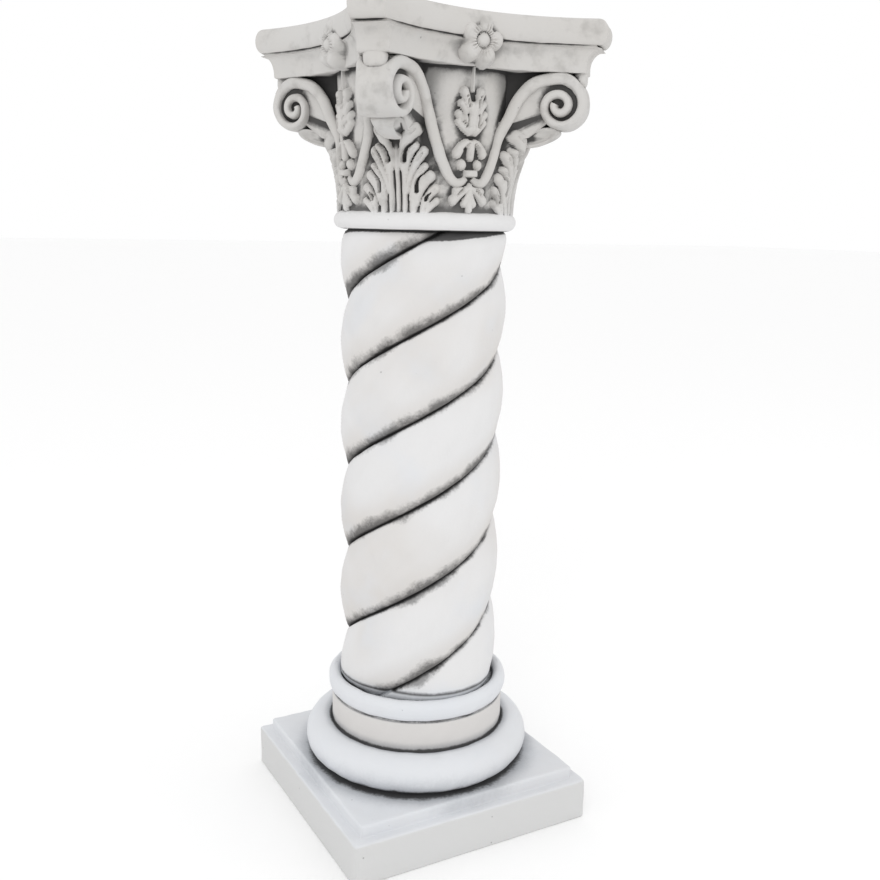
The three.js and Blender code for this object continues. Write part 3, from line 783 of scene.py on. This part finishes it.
def flower(face_bearing):
    """Rings from the flower's middle to its rim and back inside the slab. A ring's height is the highest
    petal, an ellipse with cut lines that fade outwards, or the boss, and it is sunk between them."""
    radius = np.concatenate([np.linspace(0.6, FLOWER_EDGE, FLOWER_ROWS), [FLOWER_EDGE, 12]])[:, None]
    angle = np.linspace(0, 2 * np.pi, FLOWER_COLUMNS, endpoint=False)[None, :] + 0 * radius
    span = 360 / PETALS
    turn = np.mod(np.degrees(angle) - FLOWER_LEAN + span / 2, span) - span / 2
    long = radius * np.cos(np.radians(turn))
    side = radius * np.sin(np.radians(turn))
    petal = np.clip(1 - ((long - PETAL_MIDDLE) / PETAL_LONG) ** 2 - (side / PETAL_HALF) ** 2, 0, 1) ** 0.3
    line = np.cos(np.radians(turn) * LINES_PER_PETAL * PETALS / 2) ** 8
    line = line * np.clip((LINE_END - radius) / LINE_FADE, 0, 1)
    floor_drop = -FLOWER_DEEP * np.clip((radius - FLOOR_FROM) / FLOOR_FALL, 0, 1)
    height = floor_drop + (PETAL_RISE - floor_drop) * petal - LINE_DEPTH * line
    height = height - PETAL_DISH * petal * np.exp(-((long - PETAL_MIDDLE) ** 2 + side ** 2) / 24)
    boss_spread = (radius * np.cos(angle) / BOSS_WIDE) ** 2 + (radius * np.sin(angle) / BOSS_TALL) ** 2
    boss = np.clip(1 - boss_spread, 0, 1) ** 0.5
    moat = np.exp(-((radius - MOAT_RADIUS) / MOAT_REACH) ** 2)
    height = np.where(boss > 0, BOSS_FOOT + BOSS_RISE * boss, height - MOAT_DEPTH * moat)
    height[-2:] = -FLOWER_DEEP
    across = radius * np.cos(angle)
    level = FLOWER_HEIGHT + radius * np.sin(angle)
    return stand(face_bearing, FLOWER_OUT + height, across, level)


for face, bearing in FACES.items():
    shell(f"flower_{face}", flower(bearing))

# Knobs: a squarish lump of the same stone on top of every scroll's front, under the abacus, where the
# mould was filled out.
KNOB_HALF = 10.5
KNOB_DEEP = 6
KNOB_TALL = 8
KNOB_REACH = 149
KNOB_HEIGHT = 750


def knob(bearing):
    """A squarish ball: a superellipse for its plan and for its height."""
    tilt = np.radians(np.linspace(-82, 82, 14))[:, None]
    plan_x, plan_y = rounded(32, 3)
    ring = np.abs(np.cos(tilt)) ** 0.6
    reach = KNOB_REACH + KNOB_DEEP * ring * plan_x
    level = KNOB_HEIGHT + KNOB_TALL * np.sign(np.sin(tilt)) * np.abs(np.sin(tilt)) ** 0.7
    return stand(bearing, reach, KNOB_HALF * ring * plan_y, level)


for corner, bearing in CORNERS.items():
    shell(f"knob_{corner}", knob(bearing))

# The casting: everything above was poured as one block, so the shapes are joined to one skin. A
# little unevenness all over is what the rubber mould and the hand left.
UNEVEN = 0.00012
# Waves of the unevenness: their ways in radians for each metre, and their starts
WAVES = [
    ((150, 90, 60), 0.3),
    ((-80, 170, 110), 1.7),
    ((60, -120, 190), 2.9),
    ((310, 200, -160), 4.1),
    ((-220, 260, 330), 5.3),
]
EVEN_BELOW = 0.002
EVEN_ABOVE = 0.7985
SHARP_ANGLE = 55
FINE_CELL = 0.002
FINE_REACH = 2
WIDE_CELL = 0.003
WIDE_REACH = 4
parts = list(carving.objects)
column = bpy.data.objects.new("garden_column", parts[0].data.copy())
carving.objects.unlink(parts[0])
scene.collection.objects.link(column)
scene.collection.children.link(carving)
join = column.modifiers.new("join", "BOOLEAN")
join.operation = "UNION"
join.operand_type = "COLLECTION"
join.collection = carving
join.solver = "MANIFOLD"
bpy.context.view_layer.update()
joined = bpy.data.meshes.new_from_object(column.evaluated_get(bpy.context.evaluated_depsgraph_get()))
column.modifiers.clear()
column.data = joined
joined.name = "garden_column"
for part in parts:
    bpy.data.objects.remove(part)
bpy.data.collections.remove(carving)

count = len(joined.vertices)
places = np.empty(count * 3)
joined.vertices.foreach_get("co", places)
places = places.reshape(-1, 3)
normals = np.empty(count * 3)
joined.vertices.foreach_get("normal", normals)
normals = normals.reshape(-1, 3)
wave = sum(np.sin(places @ np.array(way) + start) for way, start in WAVES)
above_ground = (places[:, 2] > EVEN_BELOW) & (places[:, 2] < EVEN_ABOVE)
places += normals * (UNEVEN * wave * above_ground)[:, None]
joined.vertices.foreach_set("co", places.ravel())
joined.update()


def recess(mesh, cell, reach_cells):
    """How deep every vertex lies between its surroundings: the middle of the surface nearby, found by
    blurring area and area times place on a grid of cells, measured outwards from the vertex."""
    mesh.calc_loop_triangles()
    corners = np.empty(len(mesh.loop_triangles) * 3, dtype=np.int32)
    mesh.loop_triangles.foreach_get("vertices", corners)
    a, b, c = places[corners.reshape(-1, 3)].transpose(1, 0, 2)
    area = np.linalg.norm(np.cross(b - a, c - a), axis=1) / 2
    repeats = np.ceil(area / (0.5 * cell ** 2)).astype(int)
    owner = np.repeat(np.arange(len(area)), repeats)
    order = np.arange(len(owner))
    first, second = order * 0.7548777 % 1, order * 0.5698403 % 1
    fold = first + second > 1
    first, second = np.where(fold, 1 - first, first), np.where(fold, 1 - second, second)
    spots = a[owner] + first[:, None] * (b - a)[owner] + second[:, None] * (c - a)[owner]
    weight = (area / repeats)[owner]
    margin = 3 * reach_cells + 3
    low = places.min(axis=0) - cell * margin
    size = np.ceil((places.max(axis=0) - low) / cell).astype(int) + margin
    index = np.ravel_multi_index(((spots - low) / cell).astype(int).T, size)
    fields = [np.bincount(index, weight * value, size.prod()).reshape(size)
              for value in (np.ones(len(spots)), *(spots.T - places.mean(axis=0)[:, None]))]
    blurred = []
    for field in fields:
        for axis in (0, 1, 2):
            for _ in range(2):
                total = np.cumsum(field, axis=axis)
                field = np.roll(total, -reach_cells, axis=axis) - np.roll(total, reach_cells + 1, axis=axis)
        blurred.append(field)
    at = (places - low) / cell - 0.5
    base = at.astype(int)
    part = at - base
    mixed = np.zeros((4, len(places)))
    for step in np.ndindex(2, 2, 2):
        share = np.prod(np.where(step, part, 1 - part), axis=1)
        spot = tuple((base + step).T)
        mixed += share * np.stack([field[spot] for field in blurred])
    middle = (mixed[1:] / np.maximum(mixed[0], 1e-12)).T + places.mean(axis=0)
    return ((middle - places) * normals).sum(axis=1) / (cell * reach_cells)


recesses = {
    "fine_recess": recess(joined, FINE_CELL, FINE_REACH),
    "wide_recess": recess(joined, WIDE_CELL, WIDE_REACH),
}
for attribute_name, depths in recesses.items():
    attribute = joined.attributes.new(attribute_name, "FLOAT", "POINT")
    attribute.data.foreach_set("value", depths.astype(np.float32))
joined.shade_smooth()
joined.set_sharp_from_angle(angle=np.radians(SHARP_ANGLE))

# Finish: pale cast stone, wiped over with a charcoal wash that stays in every hollow, with a warm
# and cool cloudiness, fine grain, small open bubbles, and painted bluish shade round the base's lines.
STONE_LIGHT = (0.725, 0.722, 0.724, 1)
STONE_WARM = (0.62, 0.59, 0.56, 1)
STONE_COOL = (0.68, 0.705, 0.745, 1)
STONE_PLAIN = (0.62, 0.62, 0.615, 1)
STONE_GREY = (0.50, 0.485, 0.46, 1)
STONE_STAIN = (0.27, 0.26, 0.245, 1)
WASH = (0.030, 0.029, 0.029, 1)
# Colour of the painted bluish shade round the lines of the base
BLUE_PAINTED_SHADE = (0.16, 0.18, 0.21, 1)
# Millimetres square to the groove for each degree of bearing
GROOVE_CLIMB = 0.647
# Heights between which a zone of the finish sets in or ends, and for the drum also its radii
CAPITAL_FROM = (608, 640)
BASE_UNTIL = (148, 156)
SHAFT_FROM = (146.5, 149)
SHAFT_UNTIL = (610, 611)
COVE_FROM = (756, 758)
COVE_UNTIL = (774.5, 775.5)
DRUM_FROM = (92, 93)
DRUM_UNTIL = (124.5, 126.5)
DRUM_WITHIN = (92, 93)
ASTRAGAL_FROM = (610.5, 612)
ASTRAGAL_UNTIL = (624.5, 628)
SLAB_UNTIL = (40.5, 42.5)
# Channels of the base that hold the wash: radius and height of the line, reach of the dark core of wash and
# of the bluish painted shade round it, which is widest as a painted contact shadow round the torus's foot
CHANNELS = [(107.5, 55.6, 11.0, 30), (92.0, 92.6, 3.4, 11), (90.6, 125.2, 1.3, 3), (80.6, 139.5, 4.4, 10)]
stone = bpy.data.materials.new("cast_stone")
stone.use_nodes = True


class Value:
    """A socket of the stone's node tree, with arithmetic that adds Math nodes."""

    def __init__(self, socket):
        self.socket = socket

    def math(self, operation, *others):
        return Value.node("ShaderNodeMath", {"operation": operation}, [self, *others])

    @staticmethod
    def node(kind, settings, sockets, output=0):
        made = stone.node_tree.nodes.new(kind)
        for key, setting in settings.items():
            setattr(made, key, setting)
        named = sockets.items() if isinstance(sockets, dict) else enumerate(sockets)
        for key, value in named:
            if isinstance(value, Value):
                stone.node_tree.links.new(value.socket, made.inputs[key])
            else:
                made.inputs[key].default_value = value
        return Value(made.outputs[output])

    def __add__(self, other):
        return self.math("ADD", other)

    __radd__ = __add__

    def __sub__(self, other):
        return self.math("SUBTRACT", other)

    def __rsub__(self, other):
        return Value.node("ShaderNodeMath", {"operation": "SUBTRACT"}, [other, self])

    def __mul__(self, other):
        return self.math("MULTIPLY", other)

    __rmul__ = __mul__


def noise(scale, detail, roughness=0.5):
    """Cloudy noise from 0 to 1 on the object's own coordinates."""
    settings = {"Vector": object_place, "Scale": scale, "Detail": detail, "Roughness": roughness}
    return Value.node("ShaderNodeTexNoise", {}, settings)


def ramp(value, low, high):
    """A smooth step from 0 at low to 1 at high."""
    settings = {"Value": value, "From Min": low, "From Max": high}
    return Value.node("ShaderNodeMapRange", {"interpolation_type": "SMOOTHSTEP"}, settings)


def blend(share, first, second):
    """One colour passing into another."""
    made = {"Factor": share, 6: first, 7: second}
    return Value.node("ShaderNodeMix", {"data_type": "RGBA"}, made, 2)


object_place = Value.node("ShaderNodeTexCoord", {}, {}, 3)
fine = Value.node("ShaderNodeAttribute", {"attribute_name": "fine_recess"}, {}, 2)
wide = Value.node("ShaderNodeAttribute", {"attribute_name": "wide_recess"}, {}, 2)
across, along, height = (
    Value.node("ShaderNodeSeparateXYZ", {}, [object_place], axis) * 1000 for axis in range(3))
radius = (across * across + along * along).math("SQRT")
climb = height - TWIST_MIDDLE
bearing = along.math("ARCTAN2", across) * np.degrees(1)
groove = climb * TWIST_RATE + climb * climb * TWIST_GROWTH + TWIST_BEARING
half_span = 180 / STRANDS
behind = (groove - bearing + half_span).math("FLOORED_MODULO", 2 * half_span) - half_span
above = behind * GROOVE_CLIMB
rough_edge = noise(330, 5, 0.65) - 0.5
patchy = noise(60, 3) - 0.5
cloud = noise(14, 3)
hue = noise(7, 2)
grain = noise(900, 3, 0.6)
in_capital = ramp(height, *CAPITAL_FROM)
in_base = 1 - ramp(height, *BASE_UNTIL)
on_shaft = ramp(height, *SHAFT_FROM) * (1 - ramp(height, *SHAFT_UNTIL))
on_cove = ramp(height, *COVE_FROM) * (1 - ramp(height, *COVE_UNTIL))
deep = ramp(fine + rough_edge * 0.16, 0.09, 0.37) * (0.45 + in_capital * 0.47)
deep = deep * (1 - in_base) * (1 - on_cove * 0.7)
soft = ramp(wide + rough_edge * 0.14, 0.05, 0.46) * (0.2 + in_capital * 0.26) * (1 - in_base)
core = 1 - ramp(above.math("ABSOLUTE") + patchy * 2.4 + rough_edge * 2.0, 0.5, 2.6)
upward = above + patchy * 13 + rough_edge * 9 + (noise(16, 1) - 0.5) * 18
brushed_up = (1 - ramp(upward, 2, 13)) * ramp(above, -1.0, 0.6)
downward = patchy * 9 + rough_edge * 8 + (noise(18, 1) - 0.5) * 24 - above
brushed_down = (1 - ramp(downward, -1, 5)) * (1 - ramp(above, -0.6, 1.0))
groove_wash = 1 - (1 - core * 0.92) * (1 - brushed_up * 0.8) * (1 - brushed_down * 0.6)
wedge = ramp(behind, -62, -4) * (1 - ramp(behind, -1, 1)) * 7.5 + 3.4
head_wash = ramp(height + wedge + rough_edge * 2.4 + patchy * 1.6, 610.2, 611.8) * 0.9
foot_wash = (1 - ramp(height + rough_edge * 2.4 + patchy * 2, 148.5, 152.5)) * 0.85
wash = 1 - (1 - deep) * (1 - soft) * (1 - groove_wash * on_shaft) * (1 - head_wash * on_shaft)
wash = 1 - (1 - wash) * (1 - foot_wash * on_shaft)
# Painted shade: a bluish darkening round each line of the base, widest as a painted contact shadow round the
# torus's foot
bluish_painted_shade = 0
for channel_radius, channel_height, core_reach, painted_shade_reach in CHANNELS:
    aside = radius - channel_radius
    over = height - channel_height
    distance = (aside * aside + over * over).math("SQRT")
    distance = distance + patchy * core_reach * 0.7 + rough_edge * core_reach * 0.8
    wash = 1 - (1 - wash) * (1 - (1 - ramp(distance, core_reach * 0.45, core_reach * 1.15)) * 0.88)
    bluish_painted_shade = 1 - (1 - bluish_painted_shade) * (1 - (1 - ramp(distance, core_reach * 0.6, painted_shade_reach)) * 0.42)
pale = blend(ramp(hue, 0.42, 0.66) * 0.6, STONE_LIGHT, STONE_WARM)
pale = blend((1 - ramp(above, 4, 34)) * ramp(above, -1, 1) * on_shaft * 0.6, pale, STONE_WARM)
pale = blend(ramp(cloud, 0.5, 0.75) * 0.5, pale, STONE_COOL)
pale = blend(in_capital * 0.6, pale, STONE_GREY)
pale = blend(ramp(noise(42, 4, 0.6), 0.5, 0.74) * in_capital * 0.4, pale, STONE_STAIN)
pale = blend(in_base * 0.6, pale, STONE_COOL)
on_drum = ramp(height, *DRUM_FROM) * (1 - ramp(height, *DRUM_UNTIL))
on_drum = on_drum * (1 - ramp(radius, *DRUM_WITHIN))
pale = blend(on_drum * 0.7, pale, STONE_WARM)
pale = blend((1 - ramp(height, *SLAB_UNTIL)) * 0.9, pale, STONE_PLAIN)
on_astragal = ramp(height, *ASTRAGAL_FROM) * (1 - ramp(height, *ASTRAGAL_UNTIL))
pale = blend(on_astragal * 0.85, pale, STONE_LIGHT)
pale = blend(ramp(grain, 0.60, 0.78) * 0.2, pale, STONE_WARM)
# Painted shade: the stone round the base's lines is darkened bluish
pale = blend(bluish_painted_shade, pale, BLUE_PAINTED_SHADE)
bubble_field = Value.node("ShaderNodeTexVoronoi", {}, {"Vector": object_place, "Scale": 95})
bubble = 1 - ramp(bubble_field, 0.05, 0.11)
few = ramp(noise(28, 1), 0.64, 0.70)
bubble = bubble * few
pale = blend(bubble * 0.4, pale, WASH)
colour = blend(wash, pale, WASH)
relief = grain * 0.35 + noise(260, 3) * 0.5 - bubble * 1.6
bumped = Value.node("ShaderNodeBump", {}, {"Strength": 0.35, "Distance": 0.0008, "Height": relief})
shader = stone.node_tree.nodes["Principled BSDF"]
shader.inputs["Specular IOR Level"].default_value = 0.25
stone.node_tree.links.new(colour.socket, shader.inputs["Base Color"])
stone.node_tree.links.new((0.78 + cloud * 0.14).socket, shader.inputs["Roughness"])
stone.node_tree.links.new(bumped.socket, shader.inputs["Normal"])
joined.materials.clear()
joined.materials.append(stone)

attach(column, "root")
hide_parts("column")
